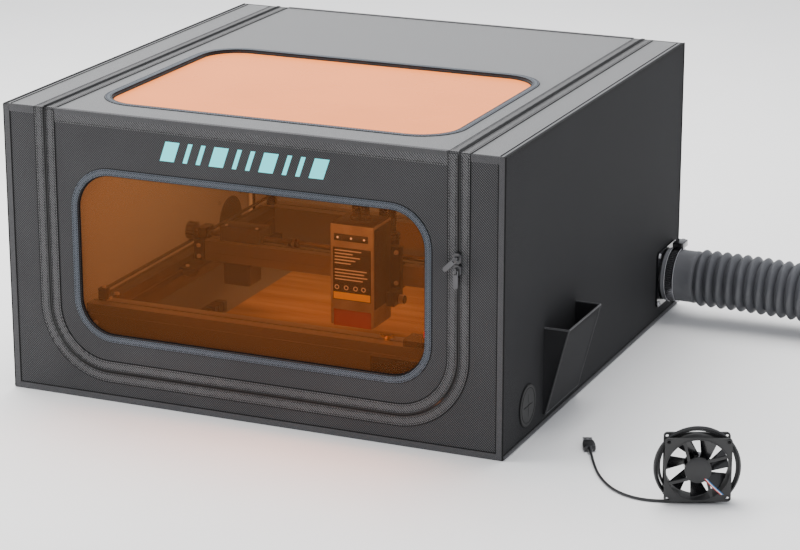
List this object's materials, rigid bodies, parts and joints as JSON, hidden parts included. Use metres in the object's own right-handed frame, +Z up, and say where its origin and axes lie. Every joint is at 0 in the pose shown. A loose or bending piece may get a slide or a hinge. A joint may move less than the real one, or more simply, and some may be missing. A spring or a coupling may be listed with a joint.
{
  "type": "desktop laser cutter",
  "caption": "Desktop laser cutter: gantry engraver inside a zip-up fabric enclosure with amber windows, exhaust hose and USB exhaust fan.",
  "frame": {"origin": "middle of the enclosure's base, on the surface it stands on", "axes": "+X to the right, -Y to the front, +Z up"},
  "size_m": [1.4159, 0.7758, 0.392],
  "materials": {
    "board_fabric": "woven polyester over stiff board, charcoal",
    "side_fabric": "smooth coated polyester, charcoal",
    "trim_tape": "twill tape, blue grey",
    "amber_pane": "clear amber sheet",
    "zip_metal": "black zipper metal",
    "black_plastic": "moulded black",
    "black_gloss": "gloss black",
    "port_rubber": "soft black",
    "hose_plastic": "grey corrugated hose",
    "bright_steel": "bright",
    "clamp_steel": "polished band",
    "frame_alloy": "anodised grey",
    "dark_alloy": "anodised black",
    "belt_rubber": "toothed belt",
    "board_wood": "plywood",
    "stop_red": "red cap",
    "shield_red": "dark red tinted",
    "lens_brass": "turned",
    "rod_fibre": "fibreglass rod",
    "lead_jacket": "black jacket",
    "plug_steel": "black moulding with a steel shell"
  },
  "bodies": {
    "root": {"floor_panel": "side_fabric", "left_wall": "side_fabric", "right_wall": "side_fabric", "back_wall": "side_fabric", "front_border": "board_fabric", "top_side_strips": "side_fabric", "support_rods": "rod_fibre", "zipper_fixed_side": "trim_tape", "tool_pocket": "side_fabric", "cable_port": "port_rubber", "spare_port_cover": "black_plastic", "duct_flange": "black_plastic", "flange_screws": "bright_steel", "hose_clamp": "clamp_steel", "hose_inlet_cuff": "hose_plastic", "exhaust_hose": "hose_plastic", "hose_outlet_cuff": "hose_plastic", "front_beam": "frame_alloy", "rear_beam": "frame_alloy", "left_rail": "frame_alloy", "right_rail": "frame_alloy", "frame_feet": "black_plastic", "y_belts": "belt_rubber", "y_cable_chain": "black_plastic", "control_box": "black_plastic", "work_board": "board_wood", "fan_frame": "black_plastic", "fan_cord_winding": "lead_jacket", "fan_cord_tail": "lead_jacket", "usb_plug": "plug_steel"},
    "stop_button": {"stop_button": "stop_red"},
    "fan_rotor": {"fan_rotor": "black_gloss"},
    "top_flap": {"top_flap_panel": "board_fabric", "top_window": "amber_pane", "top_window_trim": "trim_tape", "zipper_top_side": "trim_tape"},
    "front_flap": {"front_flap_panel": "board_fabric", "front_window": "amber_pane", "front_window_trim": "trim_tape", "zipper_front_side": "trim_tape"},
    "slider_upper": {"zipper_slider_upper": "zip_metal"},
    "slider_lower": {"zipper_slider_lower": "zip_metal"},
    "pull_upper": {"pull_tab_upper": "zip_metal"},
    "pull_lower": {"pull_tab_lower": "zip_metal"},
    "gantry": {"gantry_beam": "frame_alloy", "left_carriage": "dark_alloy", "right_carriage": "dark_alloy", "x_motor": "dark_alloy", "drive_cover": "black_plastic"},
    "sync_shaft": {"sync_shaft": "bright_steel"},
    "wheel_left_front": {"y_wheel_left_front": "black_plastic"},
    "wheel_left_rear": {"y_wheel_left_rear": "black_plastic"},
    "wheel_right_front": {"y_wheel_right_front": "black_plastic"},
    "wheel_right_rear": {"y_wheel_right_rear": "black_plastic"},
    "head_carriage": {"head_carriage": "dark_alloy"},
    "laser_module": {"laser_housing": "frame_alloy", "laser_shield": "shield_red", "lens_nozzle": "lens_brass", "cable_loom": "black_plastic"},
    "focus_thumbscrew": {"focus_thumbscrew": "dark_alloy"}
  },
  "joints": [
    {"name": "top_flap_hinge", "type": "hinge", "parent": "root", "child": "top_flap", "pos_m": [0, 0.35, 0.39], "axis": [-1, 0, 0], "range_deg": [0, 105]},
    {"name": "front_flap_hinge", "type": "hinge", "parent": "top_flap", "child": "front_flap", "pos_m": [0, -0.35, 0.39], "axis": [-1, 0, 0], "range_deg": [0, 170]},
    {"name": "zip_upper_slide", "type": "slide", "parent": "front_flap", "child": "slider_upper", "axis": [0, 0, 1], "range_m": [0, 0.115]},
    {"name": "zip_lower_slide", "type": "slide", "parent": "front_flap", "child": "slider_lower", "axis": [0, 0, 1], "range_m": [-0.105, 0]},
    {"name": "pull_upper_hinge", "type": "hinge", "parent": "slider_upper", "child": "pull_upper", "pos_m": [0.2898, -0.3595, 0.258], "axis": [-0.7071, 0, 0.7071], "range_deg": [0, 160]},
    {"name": "pull_lower_hinge", "type": "hinge", "parent": "slider_lower", "child": "pull_lower", "pos_m": [0.2898, -0.3595, 0.243], "axis": [-1, 0, 0], "range_deg": [0, 160]},
    {"name": "y_axis", "type": "slide", "parent": "root", "child": "gantry", "axis": [0, 1, 0], "range_m": [-0.15, 0.18]},
    {"name": "sync_shaft_spin", "type": "hinge", "parent": "gantry", "child": "sync_shaft", "pos_m": [0, 0.02, 0.1275], "axis": [1, 0, 0], "range_deg": [-860, 720]},
    {"name": "wheel_left_front_spin", "type": "hinge", "parent": "gantry", "child": "wheel_left_front", "pos_m": [-0.2519, -0.03, 0.082], "axis": [0, 0, 1], "range_deg": [-800, 960]},
    {"name": "wheel_left_rear_spin", "type": "hinge", "parent": "gantry", "child": "wheel_left_rear", "pos_m": [-0.2519, 0.06, 0.082], "axis": [0, 0, 1], "range_deg": [-800, 960]},
    {"name": "wheel_right_front_spin", "type": "hinge", "parent": "gantry", "child": "wheel_right_front", "pos_m": [0.2519, -0.03, 0.082], "axis": [0, 0, 1], "range_deg": [-960, 800]},
    {"name": "wheel_right_rear_spin", "type": "hinge", "parent": "gantry", "child": "wheel_right_rear", "pos_m": [0.2519, 0.06, 0.082], "axis": [0, 0, 1], "range_deg": [-960, 800]},
    {"name": "x_axis", "type": "slide", "parent": "gantry", "child": "head_carriage", "axis": [1, 0, 0], "range_m": [-0.205, 0.16]},
    {"name": "focus_slide", "type": "slide", "parent": "head_carriage", "child": "laser_module", "axis": [0, 0, 1], "range_m": [-0.012, 0.012]},
    {"name": "focus_screw_spin", "type": "hinge", "parent": "head_carriage", "child": "focus_thumbscrew", "pos_m": [0.06, -0.019, 0.079], "axis": [1, 0, 0], "continuous": true},
    {"name": "stop_button_press", "type": "slide", "parent": "root", "child": "stop_button", "axis": [0, 0, -1], "range_m": [0, 0.004], "stiffness_N_per_m": 400, "springref_m": -0.001},
    {"name": "fan_spin", "type": "hinge", "parent": "root", "child": "fan_rotor", "pos_m": [0.611, -0.38, 0.044], "axis": [0.3971, -0.9178, 0], "continuous": true}
  ],
  "couplings": [
    {"joint": "sync_shaft_spin", "follows": "y_axis", "rad_per_m": -81.3},
    {"joint": "wheel_left_front_spin", "follows": "y_axis", "rad_per_m": 91.7},
    {"joint": "wheel_left_rear_spin", "follows": "y_axis", "rad_per_m": 91.7},
    {"joint": "wheel_right_front_spin", "follows": "y_axis", "rad_per_m": -91.7},
    {"joint": "wheel_right_rear_spin", "follows": "y_axis", "rad_per_m": -91.7}
  ]
}
